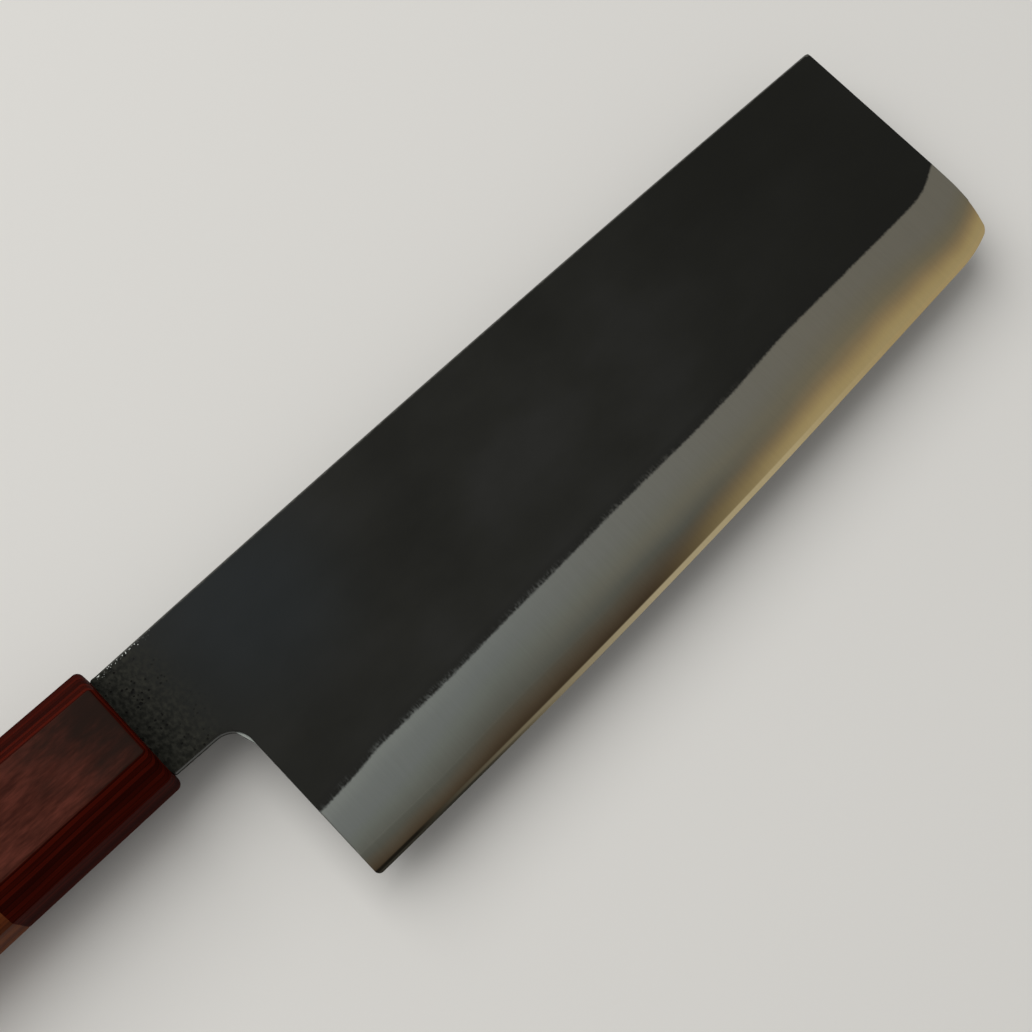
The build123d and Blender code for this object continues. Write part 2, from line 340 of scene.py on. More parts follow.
@dataclass
class BladeGrid:
    """Points over the blade's side view, with the values that its surface and finish need."""

    form: BladeForm
    levels: np.ndarray
    neck_steps: np.ndarray
    blade_steps: np.ndarray
    along: np.ndarray = field(init=False)
    height: np.ndarray = field(init=False)
    above: np.ndarray = field(init=False)
    straight: np.ndarray = field(init=False)
    rim: np.ndarray = field(init=False)
    bare: np.ndarray = field(init=False)
    nicked: np.ndarray = field(init=False)
    quads: np.ndarray = field(init=False)

    CHOIL_LEVEL = 4
    FAR = 99.0
    SLACK = 0.01
    FRONT_ROUNDS = 16
    CORNER_ROUNDS = 8

    def __post_init__(self) -> None:
        """Lay the grid out.

        A row is a level between key curves and runs from the ferrule to the front line. Its columns go along
        the neck and then the blade, and the neck has rows above the choil only.
        """
        form = self.form
        front = np.full((len(self.levels), 1), form.reach)
        for _ in range(self.FRONT_ROUNDS):
            front = form.front(self.height_at(front))
        share = (self.blade_steps - form.neck_length) / (self.blade_steps[-1] - form.neck_length)
        on_neck = np.broadcast_to(self.neck_steps, (len(self.levels), len(self.neck_steps)))
        along = np.hstack([on_neck, form.neck_length + (front - form.neck_length) * share])
        height = self.height_at(along)
        columns = along.shape[1]
        on_blade = np.arange(columns) >= len(self.neck_steps)
        self.straight = along
        self.above = height - form.edge(along)
        self.measure_rim(along, height, on_blade)
        self.along, self.height = self.round_corners(along, height)
        quads = grid_quads(len(self.levels), columns)
        row, column = np.divmod(quads[:, 0], columns)
        present = (self.levels[row] >= self.CHOIL_LEVEL - TOLERANCE) | on_blade[column]
        self.quads = quads[present]

    def height_at(self, along: np.ndarray) -> np.ndarray:
        """Heights of the rows: each is the straight mix of the two key curves next to its level.

        The key curves are 0 the edge, 1 the micro bevel, 2 the core line, 3 the scale's border, 4 the choil,
        5 the spine's chamfer and 6 the spine.

        Args:
            along: places along the blade, a row of them for each level.

        Returns:
            Heights over the axis.
        """
        form = self.form
        edge, spine = form.edge(along), form.spine(along)
        keys = np.stack([
            edge,
            edge + form.micro_height,
            edge + form.core_line(along),
            edge + form.border(along),
            form.neck_bottom(along),
            spine - form.spine_chamfer,
            spine,
        ])
        low = np.minimum(self.levels.astype(int), len(keys) - 2)
        share = (self.levels - low)[:, None]
        rows = np.arange(len(self.levels))
        return keys[low, rows] * (1.0 - share) + keys[low + 1, rows] * share

    def measure_rim(self, along: np.ndarray, height: np.ndarray, on_blade: np.ndarray) -> None:
        """Distances to the outline, and how bare of scale each part of the outline has been rubbed or ground.

        Args:
            along: places before the corners are rounded.
            height: heights before the corners are rounded.
            on_blade: which columns are in front of the heel line.
        """
        form = self.form
        below_choil = height < form.neck_bottom(along) - TOLERANCE
        far = np.full(height.shape, self.FAR)
        to_spine = form.spine(along) - height
        to_front = np.where(on_blade, form.front(height) - along, far)
        to_heel = np.where(on_blade & below_choil, along - form.neck_length, far)
        to_neck = np.where(on_blade, far, height - form.neck_bottom(along))
        self.rim = np.minimum.reduce([to_spine, to_front, to_heel, to_neck])
        ground = ease(self.above - form.border(along), 0.6, -0.6)
        worn = [
            (to_spine, 0.38, 0.8 * ease(along, 0.5, 4.0)),
            (to_front, 0.16, 0.55 + 0.25 * ground),
            (to_heel, 0.14, 0.3 + 0.4 * ground),
            (to_neck, 0.12, 0.1),
        ]
        rubbed = [weight * ease(gap, reach * 1.6, reach * 0.6) for gap, reach, weight in worn]
        rubbed.append(1.4 * ease(np.hypot(to_spine, to_front - 0.3), 1.1, 0.5))
        self.bare = np.maximum.reduce(rubbed)
        off_outline = ease(to_spine, 1.8, 0.4) * ease(to_spine, 0.08, 0.4)
        self.nicked = off_outline * ease(along, 19.0, 7.0) * ease(along, 0.3, 1.5)

    def round_corners(self, along: np.ndarray, height: np.ndarray) -> tuple[np.ndarray, np.ndarray]:
        """Round the outline's corners by moving the grid: a square of side r turns into a quarter disc.

        In corner coordinates a and b, from 0 where the arc's centre is to 1 on the outline, the point goes to
        a sqrt(1 - b b / 2), b sqrt(1 - a a / 2). They are counted from the two lines that meet there, along
        the blade and upwards, so the new place is solved from them in a few rounds. Around the choil, which
        is hollow, the same move fades out beyond the corner.

        Args:
            along: places of the grid.
            height: heights of the grid.

        Returns:
            The moved places and heights.
        """
        form = self.form
        heel, radius = form.neck_length, form.choil_radius
        corners = [
            (form.front, form.spine, 1, 1, form.spine_corner_radius),
            (form.front, form.edge, 1, -1, form.tip_corner),
            (lambda _: heel, form.edge, -1, -1, form.heel_radius),
            (lambda _: 0.0, form.spine, -1, 1, form.shoulder_radius),
            (lambda _: 0.0, form.neck_bottom, -1, -1, form.shoulder_radius),
        ]
        moved_along, moved_height = along.copy(), height.copy()
        for upright, level, forward, upward, reach in corners:
            ahead, beside = (upright(height) - along) * forward, (level(along) - height) * upward
            inside = (np.minimum(ahead, beside) > -self.SLACK) & (np.maximum(ahead, beside) < reach)
            a, b = np.clip(1.0 - ahead / reach, 0.0, 1.0), np.clip(1.0 - beside / reach, 0.0, 1.0)
            new_ahead = reach * (1.0 - a * np.sqrt(1.0 - b * b / 2.0))
            new_beside = reach * (1.0 - b * np.sqrt(1.0 - a * a / 2.0))
            new_along, new_height = along, height
            for _ in range(self.CORNER_ROUNDS):
                new_along = upright(new_height) - forward * new_ahead
                new_height = level(new_along) - upward * new_beside
            moved_along = np.where(inside, new_along, moved_along)
            moved_height = np.where(inside, new_height, moved_height)
        a = (along - heel) / radius + 1.0
        b = (height - float(form.neck_bottom(heel))) / radius + 1.0
        near_a, near_b = np.clip(a, 0.0, 1.0), np.clip(b, 0.0, 1.0)
        fade = ease(np.hypot(a - near_a, b - near_b), 1.6, 0.0)
        shift_a = near_a * np.sqrt(1.0 - near_b**2 / 2.0) - near_a
        shift_b = near_b * np.sqrt(1.0 - near_a**2 / 2.0) - near_b
        return moved_along + shift_a * radius * fade, moved_height + shift_b * radius * fade

    def values(self) -> dict[str, np.ndarray]:
        """Attributes that the finishes read, for both layers of a slab.

        Returns:
            The place on the blade and the masks of wear, by attribute name.
        """
        place = np.stack([self.straight, self.above, self.above - self.form.border(self.straight)], axis=-1)
        masks = {"bare": self.bare, "nicked": self.nicked}
        tiled = {name: np.tile(mask.ravel(), 2) for name, mask in masks.items()}
        return {"place": np.tile(place.reshape(-1, 3), (2, 1)), **tiled}

    def slab(self, upper: np.ndarray, lower: np.ndarray) -> np.ndarray:
        """Points of a slab's two layers, one after the other, from their distances to the mid-plane."""
        layers = [np.stack([self.along, self.height, side], axis=-1) for side in (upper, lower)]
        return np.concatenate(layers).reshape(-1, 3)


@dataclass
class Blade:
    """Hard core between two claddings, with the forged flats, the ground bevels and the hidden tang."""

    form: BladeForm = field(default_factory=BladeForm)
    forging_depth: float = 0.012
    rough_depth: float = 0.03
    rough_length: float = 9.0
    tang_rows: int = 7
    tang_columns: int = 25
    tang_place: tuple[float, float, float] = (-5.0, 40.0, 25.0)

    def blade_steps(self, fine: float) -> np.ndarray:
        """Column places from the heel line to the front, closer together at both ends.

        Args:
            fine: gap between columns over the long middle.

        Returns:
            The places.
        """
        start, end = self.form.neck_length, self.form.neck_length + self.form.edge_length
        middle = round((end - start - 6.0) / fine)
        rear = [(start, 0), (start + 0.1, 1), (start + 0.6, 2), (start + 3.0, 6)]
        return steps(*rear, (end - 3.0, middle), (end - 1.2, 5), (end - 0.1, 9), (end, 1))

    def forged(self, along: np.ndarray, height: np.ndarray, side: Side) -> np.ndarray:
        """Unevenness left by the hammer: a sum of sine waves of 9 to 31 mm in several directions.

        Beside the ferrule a product of two swaying sine waves of about 2 mm adds lumps.

        Args:
            along: places along the blade.
            height: heights over the axis.
            side: side of the blade, which shifts the waves.

        Returns:
            Depths to take off the flat, from 0 to about the forging depth.
        """
        waves = [(31.0, 0.2, 0.4), (23.0, 1.3, 1.9), (17.0, 2.2, 3.1), (13.0, 0.8, 5.0), (9.0, 2.7, 0.9)]
        total = np.zeros_like(along)
        for length, angle, phase in waves:
            travel = along * math.cos(angle) + height * math.sin(angle)
            total += np.sin(travel * 2.0 * math.pi / length + phase * side.value)
        smooth_part = self.forging_depth * (0.5 + total / (2.0 * len(waves)))
        swayed_along = along * 3.3 + 2.0 * np.sin(height * 1.1)
        swayed_height = height * 2.6 + 1.7 * np.sin(along * 1.4 + side.value)
        lumps = 0.5 + np.sin(swayed_along) * np.sin(swayed_height) / 2.0
        return smooth_part + self.rough_depth * ease(along, self.rough_length, 1.0) * lumps

    def outer(self, grid: BladeGrid, side: Side) -> np.ndarray:
        """Half thickness of the finished surface: bevel up to the border, then uneven flat, with eased rim.

        Args:
            grid: points over the side view.
            side: side of the blade.

        Returns:
            Side distance at each point.
        """
        form = self.form
        width = form.border(grid.straight)
        bevel = form.bevel_half(grid.straight, grid.above)
        flat = form.flat_half(grid.straight, grid.height)
        calm = ease(grid.above - width, 0.0, 2.5) * ease(grid.rim, 0.3, 2.0)
        uneven = flat - self.forged(grid.along, grid.height, side) * calm
        surface = np.where(grid.above < width, bevel, uneven)
        to_spine = np.maximum(form.spine(grid.straight) - grid.height, 0.0)
        chamfer = np.maximum(form.spine_chamfer - to_spine, 0.0) * ease(grid.straight, 0.0, 1.5)
        eased = np.maximum(form.eased_edge - grid.rim, 0.0) * ease(grid.above, 0.3, 1.2)
        return surface - np.maximum(chamfer, eased)

    def tang_layer(self, inner: float, outer: float) -> tuple[np.ndarray, np.ndarray]:
        """A layer of the tang: a slab whose height and thickness both taper backwards in a straight line.

        Args:
            inner: side distance of the layer's inner face.
            outer: side distance of its outer face at the root, or a smaller one where the core ends there.

        Returns:
            Points and faces.
        """
        form = self.form
        rows, columns = self.tang_rows, self.tang_columns
        share = np.linspace(0.0, 1.0, columns)[::-1]
        half_height = (form.tang_root[0] + (form.tang_end[0] - form.tang_root[0]) * share) / 2.0
        height = np.linspace(-1.0, 1.0, rows)[:, None] * half_height
        along = np.broadcast_to(-form.tang_length * share, height.shape)
        is_outermost = outer > form.tang_root[1] / 2.0 - TOLERANCE
        thinning = (form.tang_root[1] - form.tang_end[1]) / 2.0 * share * is_outermost
        sides = [np.broadcast_to(side, height.shape) for side in (outer - thinning, inner)]
        layers = [np.stack([along, height, side], axis=-1) for side in sides]
        return np.concatenate(layers).reshape(-1, 3), close_layers(grid_quads(rows, columns), height.size)

    def build_core(self, material: bpy.types.Material) -> None:
        """Hard core: as thick as the bevels leave it near the edge, then flat between the claddings.

        Args:
            material: finish of the core.
        """
        form = self.form
        levels = steps((0, 0), (1, 6), (2, 10), (3, 4), (4, 4), (5, 5), (6, 1))
        grid = BladeGrid(form, levels, steps((0, 0), (1.6, 4), (10, 6), (12.9, 4)), self.blade_steps(0.65))
        half = np.minimum(self.outer(grid, Side.RIGHT), form.core_half(grid.straight))
        half = np.maximum(half, form.edge_land / 2.0)
        blade = grid.slab(half, -half), close_layers(grid.quads, grid.along.size)
        core = float(form.core_half(np.array(0.0)))
        self.join("core", grid, blade, self.tang_layer(-core, core), material, "blade_core")

    def build_cladding(self, side: Side, material: bpy.types.Material) -> None:
        """Cladding of one side: from the core's face out to the flat and the upper part of the bevel.

        Args:
            side: side of the blade.
            material: finish of the cladding.
        """
        form = self.form
        levels = steps((2, 0), (2.9, 15), (3, 4), (3.06, 4), (4, 26), (5, 34), (6, 3))
        grid = BladeGrid(form, levels, steps((0, 0), (1.6, 5), (12.9, 26)), self.blade_steps(0.75))
        inner = form.core_half(grid.straight)
        outer = np.maximum(self.outer(grid, side), inner)
        blade = grid.slab(outer, inner), close_layers(grid.quads, grid.along.size)
        tang = self.tang_layer(float(form.core_half(np.array(0.0))), form.tang_root[1] / 2.0)
        if side is Side.LEFT:
            blade, tang = [(points * (1, 1, -1), faces[:, ::-1]) for points, faces in (blade, tang)]
        name = f"cladding_{side.name.lower()}"
        self.join(f"{name}_forged", grid, blade, tang, material, name)

    def join(
        self,
        name: str,
        grid: BladeGrid,
        blade: tuple[np.ndarray, np.ndarray],
        tang: tuple[np.ndarray, np.ndarray],
        material: bpy.types.Material,
        node: str,
    ) -> None:
        """Make one piece of a layer of the blade and the same layer of the tang.

        Args:
            name: name of the piece.
            grid: grid of the blade's layer.
            blade: points and faces of the blade's layer.
            tang: points and faces of the tang's layer.
            material: finish.
            node: CAD node that the piece stands for.
        """
        values, unworn = grid.values(), np.zeros(len(tang[0]))
        place = np.tile(self.tang_place, (len(tang[0]), 1))
        for label, numbers in (("place", place), ("bare", unworn), ("nicked", unworn)):
            values[label] = np.concatenate([values[label], numbers])
        points = np.concatenate([blade[0], tang[0]])
        faces = np.concatenate([blade[1], tang[1] + len(blade[0])])
        make_piece(name, points, faces, material, node, values)

    def build(self, core_finish: bpy.types.Material, cladding_finish: bpy.types.Material) -> None:
        """Build the three layers of the blade.

        Args:
            core_finish: finish of the hard core.
            cladding_finish: finish of both claddings.
        """
        self.build_core(core_finish)
        for side in Side:
            self.build_cladding(side, cladding_finish)


# Handle


@dataclass
class Handle:
    """Eight-sided ferrule and body, growing evenly from the ferrule's face to the butt."""

    length: float = 130.0
    ferrule_length: float = 32.5
    height: float = 23.8
    width: float = 19.8
    growth: float = 1.0
    side_flat: float = 0.563
    top_flat: float = 0.505
    arris: float = 0.35
    rim: float = 1.2
    butt: float = 1.5
    seam: float = 0.05
    front_wall: float = 3.0
    bore: float = 14.0
    bore_end: float = 106.0
    slot: tuple[float, float] = (10.6, 3.6)
    arc_points: int = 7
    flat_points: int = 10
    rim_steps: int = 8
    side_margin: float = 4.0
    seam_margin: float = 0.2
    face_share: float = 0.7
    butt_share: float = 0.4

    def ring(self, along: float, inset: float) -> np.ndarray:
        """Section of the handle: an octagon whose corners are arcs.

        Each side's line is moved in by the inset and the arc's radius; where neighbouring lines cross is an
        arc's centre, and the arc turns from one side's normal to the next.

        Args:
            along: place along the handle, below 0 behind the ferrule's face.
            inset: how far the whole section is drawn in.

        Returns:
            Points with their height and side, once round.
        """
        tall, wide = self.height / 2.0, self.width / 2.0
        quarter = [(tall, wide * self.top_flat), (tall * self.side_flat, wide)]
        half = quarter + [(-up, out) for up, out in reversed(quarter)]
        corners = np.array(half + [(-up, -out) for up, out in half])
        edges = np.roll(corners, -1, axis=0) - corners
        normals = np.stack([edges[:, 1], -edges[:, 0]], axis=-1)
        normals /= np.linalg.norm(normals, axis=1, keepdims=True)
        radius = self.arris
        reach = (normals * corners).sum(axis=1) + self.growth * -along / self.length - inset - radius
        before = np.roll(normals, 1, axis=0)
        both_reaches = np.stack([np.roll(reach, 1), reach], axis=1)[..., None]
        centres = np.linalg.solve(np.stack([before, normals], axis=1), both_reaches)
        turns = np.linspace(0.0, 1.0, self.arc_points)[:, None]
        start = np.arctan2(before[:, 1], before[:, 0])
        sweep = (np.arctan2(normals[:, 1], normals[:, 0]) - start + math.pi) % (2.0 * math.pi) - math.pi
        angles = start + sweep * turns
        arcs = centres[:, :, 0] + radius * np.stack([np.cos(angles), np.sin(angles)], axis=-1)
        spread = np.linspace(0.0, 1.0, self.flat_points + 2)[1:-1, None, None]
        flats = arcs[-1] + (np.roll(arcs[0], -1, axis=0) - arcs[-1]) * spread
        return np.concatenate([arcs, flats]).transpose(1, 0, 2).reshape(-1, 2)

    def carry(self, stations: list[tuple[float, np.ndarray]]) -> np.ndarray:
        """Rings put one after another along the handle."""
        return np.stack([np.column_stack([np.full(len(ring), along), ring]) for along, ring in stations])

    def circle(self, ring: np.ndarray, radius: float) -> np.ndarray:
        """The ring's points drawn in or out to a circle."""
        return ring * (radius / np.linalg.norm(ring, axis=1, keepdims=True))

    def rectangle(self, ring: np.ndarray, height: float, width: float) -> np.ndarray:
        """The ring's points drawn in to a rectangle, along rays from the axis.

        Args:
            ring: points of a ring.
            height: height of the rectangle.
            width: width of the rectangle.

        Returns:
            The moved points.
        """
        with np.errstate(divide="ignore"):
            reach = np.minimum(height / 2.0 / np.abs(ring[:, 0]), width / 2.0 / np.abs(ring[:, 1]))
        return ring * reach[:, None]

    def rounded_end(self, face: float, radius: float, inwards: int) -> list[tuple[float, np.ndarray]]:
        """Rings of a rounded rim, from the flat end face outwards: a quarter circle of the given radius.

        Args:
            face: place of the end face.
            radius: radius of the rim.
            inwards: direction from the face into the wood, -1 or 1.

        Returns:
            Places and rings.
        """
        angles = np.linspace(0.0, math.pi / 2.0, self.rim_steps)
        places = face + inwards * radius * (1.0 - np.cos(angles))
        insets = radius * (1.0 - np.sin(angles))
        return [(place, self.ring(place, inset)) for place, inset in zip(places, insets)]

    def build_ferrule(self, material: bpy.types.Material) -> None:
        """Ferrule: slot, front face, rounded rim, eight sides, back face and bore in one loop of rings.

        Args:
            material: finish of the ferrule.
        """
        plain = self.ring(0.0, self.rim)
        wall, end = -self.front_wall, -self.ferrule_length
        slot_ring = self.rectangle(plain, *self.slot)
        places = np.linspace(-self.side_margin, end + self.seam_margin, 12)
        stations = [
            (wall, slot_ring),
            (0.0, slot_ring),
            (0.0, self.rectangle(plain, self.height * self.face_share, self.width * self.face_share)),
            *self.rounded_end(0.0, self.rim, -1),
            *[(place, self.ring(place, 0.0)) for place in places],
            (end, self.ring(end, self.seam)),
            (end, self.circle(plain, self.bore / 2.0)),
            (wall, self.circle(plain, self.bore / 2.0)),
        ]
        points = self.carry(stations)
        faces = grid_quads(*points.shape[:2], ring=True, loop=True)
        make_piece("ferrule_planed", points.reshape(-1, 3), faces, material, "ferrule")

    def build_body(self, material: bpy.types.Material) -> None:
        """Body: bore, front face, eight sides and rounded butt, closed at the axis on both ends.

        Args:
            material: finish of the body.
        """
        start, end = -self.ferrule_length, -self.length
        plain = self.ring(start, 0.0)
        point = plain * 0.0
        places = np.linspace(start - self.seam_margin, end + self.side_margin, 30)
        stations = [
            (-self.bore_end, point),
            (-self.bore_end, self.circle(plain, self.bore / 2.0)),
            (start, self.circle(plain, self.bore / 2.0)),
            (start, self.ring(start, self.seam)),
            *[(place, self.ring(place, 0.0)) for place in places],
            *reversed(self.rounded_end(end, self.butt, 1)),
            (end, plain * self.butt_share),
            (end, point),
        ]
        points = self.carry(stations)
        faces = grid_quads(*points.shape[:2], ring=True)
        make_piece("handle_planed", points.reshape(-1, 3), faces, material, "handle_body")

    def build(self, ferrule_finish: bpy.types.Material, body_finish: bpy.types.Material) -> None:
        """Build ferrule and body."""
        self.build_ferrule(ferrule_finish)
        self.build_body(body_finish)


# Finishes

Tree = bpy.types.NodeTree
Socket = bpy.types.NodeSocket
Input = float | tuple[float, ...] | Socket
Sizes = tuple[float, float, float]  # of a pattern along, up and across the knife, in mm
Spots = tuple[float, float, float]  # a cell's size and a spot's radius in mm, and the share of cells with one
Fade = tuple[Socket, float, float, float]  # what it reads, where it starts and ends, and its highest share
SMOOTH = {"interpolation_type": "SMOOTHSTEP"}


def linear(code: str) -> tuple[float, float, float, float]:
    """Linear colour of an sRGB hex code, with full opacity."""
    parts = [int(code[place : place + 2], 16) / 255.0 for place in (1, 3, 5)]
    return (*[part / 12.92 if part <= 0.04045 else ((part + 0.055) / 1.055) ** 2.4 for part in parts], 1.0)


def add_node(
    tree: Tree,
    kind: str,
    inputs: dict[int | str, Input] | None = None,
    output: int | str = 0,
    stops: list[tuple[float, str]] | None = None,
    **settings: object,
) -> Socket | None:
    """Add a shader node with its settings and links.

    Args:
        tree: node tree of the material.
        kind: node type without its ShaderNode prefix.
        inputs: by input name or number, a value, or an output to link.
        output: name or number of the output to hand back; for a colour mix, number 2.
        stops: place and hex colour of each stop of a colour ramp.
        settings: properties of the node.

    Returns:
        The output asked for, or nothing where the node has none.
    """
    node = tree.nodes.new(f"ShaderNode{kind}")
    for name, value in settings.items():
        setattr(node, name, value)
    for name, value in (inputs or {}).items():
        if isinstance(value, Socket):
            tree.links.new(value, node.inputs[name])
        else:
            node.inputs[name].default_value = value
    for number, (place, code) in enumerate(stops or []):
        elements = node.color_ramp.elements
        element = elements[number] if number < 2 else elements.new(place)
        element.position, element.color = place, linear(code)
    return node.outputs[output] if len(node.outputs) else None


@dataclass(frozen=True)
class Finish:
    """A material with its own node tree; each kind paints it in its own way."""

    name: str

    def material(self) -> bpy.types.Material:
        """Make the material.

        Returns:
            The new material, whose surface is this finish's shader.
        """
        made = bpy.data.materials.new(self.name)
        made.use_nodes = True
        made.node_tree.nodes.clear()
        add_node(made.node_tree, "OutputMaterial", {"Surface": self.paint(made.node_tree)})
        return made

    def paint(self, tree: Tree) -> Socket:
        """Add the finish's nodes and return its shader."""
        raise NotImplementedError

    def grain(self, tree: Tree, sizes: Sizes, detail: float = 3.0) -> Socket:
        """Noise in blobs that are longer one way than another, such as scratches, fibres and clouds.

        Args:
            tree: node tree.
            sizes: size of the blobs along, up and across the knife, in mm.
            detail: octaves of the noise.

        Returns:
            The noise, from 0 to 1.
        """
        place = add_node(tree, "TexCoord", output="Object")
        scaled = add_node(tree, "Mapping", {0: place, "Scale": tuple(1 / MM / size for size in sizes)})
        return add_node(tree, "TexNoise", {"Vector": scaled, "Scale": 1.0, "Detail": detail})

    def cover(self, tree: Tree, base: Socket, layers: list[tuple[Input, Input]]) -> Socket:
        """Lay colours over one another.

        Args:
            tree: node tree.
            base: lowest colour.
            layers: opacity and colour of each layer, upwards.

        Returns:
            The colour on top.
        """
        for opacity, colour in layers:
            base = add_node(tree, "Mix", {0: opacity, 6: base, 7: colour}, 2, data_type="RGBA")
        return base


@dataclass(frozen=True)
class GroundSteel(Finish):
    """Hard carbon steel core, ground and stoned by hand.

    The haze of fine scratches makes the bevel softly grey. The low band is brown near the heel and turns
    golden from the middle to the tip: a painted reflection of warm light, not a tint of the steel. The micro
    bevel shows as a line, dark at the heel and bright further on. Heights and places are in mm.
    """

    heel_band: tuple[str, ...] = ("#392f23", "#443b2f", "#4b463c", "#4c4c45", "#52534d", "#585b56", "#5a5d5b")
    # the tip band's low golden colours are a painted reflection of warm light, not the steel's own tint
    tip_band_gold_reflection: tuple[str, ...] = ("#9d8c64", "#9a885f", "#8b7957", "#7a6c52", "#6a6351", "#656155", "#656259")
    band_heights: tuple[float, ...] = (1.2, 2.3, 3.8, 5.2, 7.0, 9.5, 12.0)
    band_drift: float = 1.6
    heel_squeeze: tuple[float, ...] = (15.0, 52.0, 1.4, 1.0)
    tip_squeeze: tuple[float, ...] = (150.0, 172.0, 1.0, 1.25)
    gold_reflection_slant: float = -3.0
    line_colours: tuple[str, ...] = ("#15130f", "#4f493c", "#847a62", "#a3977a", "#ab9c78", "#a28f66")
    line_places: tuple[float, ...] = (22.0, 36.0, 58.0, 80.0, 115.0, 145.0)
    lip: str = "#2c2a24"
    hazed: str = "#636662"
    roughness: float = 0.3
    drift_clouds: Sizes = (14.0, 8.0, 8.0)
    # A whetstone's scratches are about 0.02 mm wide, too fine to show, so they are drawn coarser.
    haze_scratches: Sizes = (0.35, 7.0, 7.0)
    relief_scratches: Sizes = (0.12, 4.0, 4.0)
    scratch_depth: float = 0.004

    def place(self, tree: Tree) -> dict[str, Socket]:
        """Places on the blade in mm: X from the ferrule, Y above the edge, Z above the scale's border."""
        attribute = add_node(tree, "Attribute", output="Vector", attribute_name="place")
        return dict(add_node(tree, "SeparateXYZ", {0: attribute}).node.outputs.items())

    def bands(self, tree: Tree, along: Socket, lifted: Socket) -> list[Socket]:
        """Colours over the height at the heel and at the tip, each squeezed towards the edge near its end.

        Args:
            tree: node tree.
            along: place along the blade.
            lifted: height above the edge, with its drift.

        Returns:
            The heel's and the tip's colour.
        """
        bottom, top = self.band_drift / 2.0, self.band_heights[-1]
        colours = []
        for codes, squeeze in ((self.heel_band, self.heel_squeeze), (self.tip_band_gold_reflection, self.tip_squeeze)):
            factor = add_node(tree, "MapRange", {0: along, **dict(enumerate(squeeze, 1))}, **SMOOTH)
            height = add_node(tree, "Math", {0: lifted, 1: factor}, operation="MULTIPLY")
            share = add_node(tree, "MapRange", {0: height, 1: bottom, 2: bottom + top})
            stops = [(above / top, code) for above, code in zip(self.band_heights, codes)]
            colours.append(add_node(tree, "ValToRGB", {0: share}, stops=stops))
        return colours

    def ground_colour(self, tree: Tree, place: dict[str, Socket]) -> Socket:
        """Colour of the ground bevel: the two bands mixed along the blade, with haze and edge line over them.

        Args:
            tree: node tree.
            place: places on the blade.

        Returns:
            The colour.
        """
        along, above = place["X"], place["Y"]
        drift = self.grain(tree, self.drift_clouds, 2.0)
        lifted = add_node(tree, "Math", {0: drift, 1: self.band_drift, 2: above}, operation="MULTIPLY_ADD")
        slanted = add_node(tree, "Math", {0: lifted, 1: self.gold_reflection_slant, 2: along}, operation="MULTIPLY_ADD")
        at_heel, at_tip = self.bands(tree, along, lifted)
        fades: dict[str, Fade] = {
            # the golden share paints a reflection of warm light over the low bevel towards the tip
            "gold": (slanted, 69.0, 120.0, 1.0),
            "high": (lifted, 6.0, 9.5, 1.0),
            "on_line": (above, 1.05, 0.75, 0.95),
            "outermost": (above, 0.5, 0.3, 1.0),
            "before_middle": (along, 60.0, 30.0, 1.0),
            "near_border": (place["Z"], -3.0, -0.3, 0.45),
            "near_heel": (along, 90.0, 20.0, 1.0),
        }
        share = {
            name: add_node(tree, "MapRange", {0: source, 1: start, 2: end, 4: highest}, **SMOOTH)
            for name, (source, start, end, highest) in fades.items()
        }
        tip_reflection_takeover = add_node(tree, "MapRange", {0: along, 1: 50.0, 2: 135.0})
        heel, length = BladeForm.neck_length, BladeForm.edge_length
        line_share = add_node(tree, "MapRange", {0: along, 1: heel, 2: heel + length})
        stops = [((mark - heel) / length, code) for mark, code in zip(self.line_places, self.line_colours)]
        line = add_node(tree, "ValToRGB", {0: line_share}, stops=stops)
        turned = add_node(tree, "Mix", {0: share["high"], 2: share["gold"], 3: tip_reflection_takeover})
        hazy = add_node(tree, "Math", {0: share["near_border"], 1: share["near_heel"]}, operation="MULTIPLY")
        lip = add_node(tree, "Math", {0: share["outermost"], 1: share["before_middle"]}, operation="MULTIPLY")
        edge_layers = [(share["on_line"], line), (lip, linear(self.lip))]
        colour = self.cover(tree, at_heel, [(turned, at_tip), (hazy, linear(self.hazed)), *edge_layers])
        scratches = self.grain(tree, self.haze_scratches, 4.0)
        haze = add_node(tree, "MapRange", {0: scratches, 1: 0.25, 2: 0.75, 3: 0.97, 4: 1.03})
        return add_node(tree, "VectorMath", {0: colour, "Scale": haze}, operation="SCALE")

    def paint(self, tree: Tree) -> Socket:
        """Metal with fine scratches square to the edge.

        Args:
            tree: node tree.

        Returns:
            The shader.
        """
        colour = self.ground_colour(tree, self.place(tree))
        scratches, depth = self.grain(tree, self.relief_scratches), self.scratch_depth * MM
        relief = add_node(tree, "Bump", {"Height": scratches, "Distance": depth, "Strength": 1.0})
        shading = {"Base Color": colour, "Metallic": 1.0, "Roughness": self.roughness, "Normal": relief}
        return add_node(tree, "BsdfPrincipled", shading)


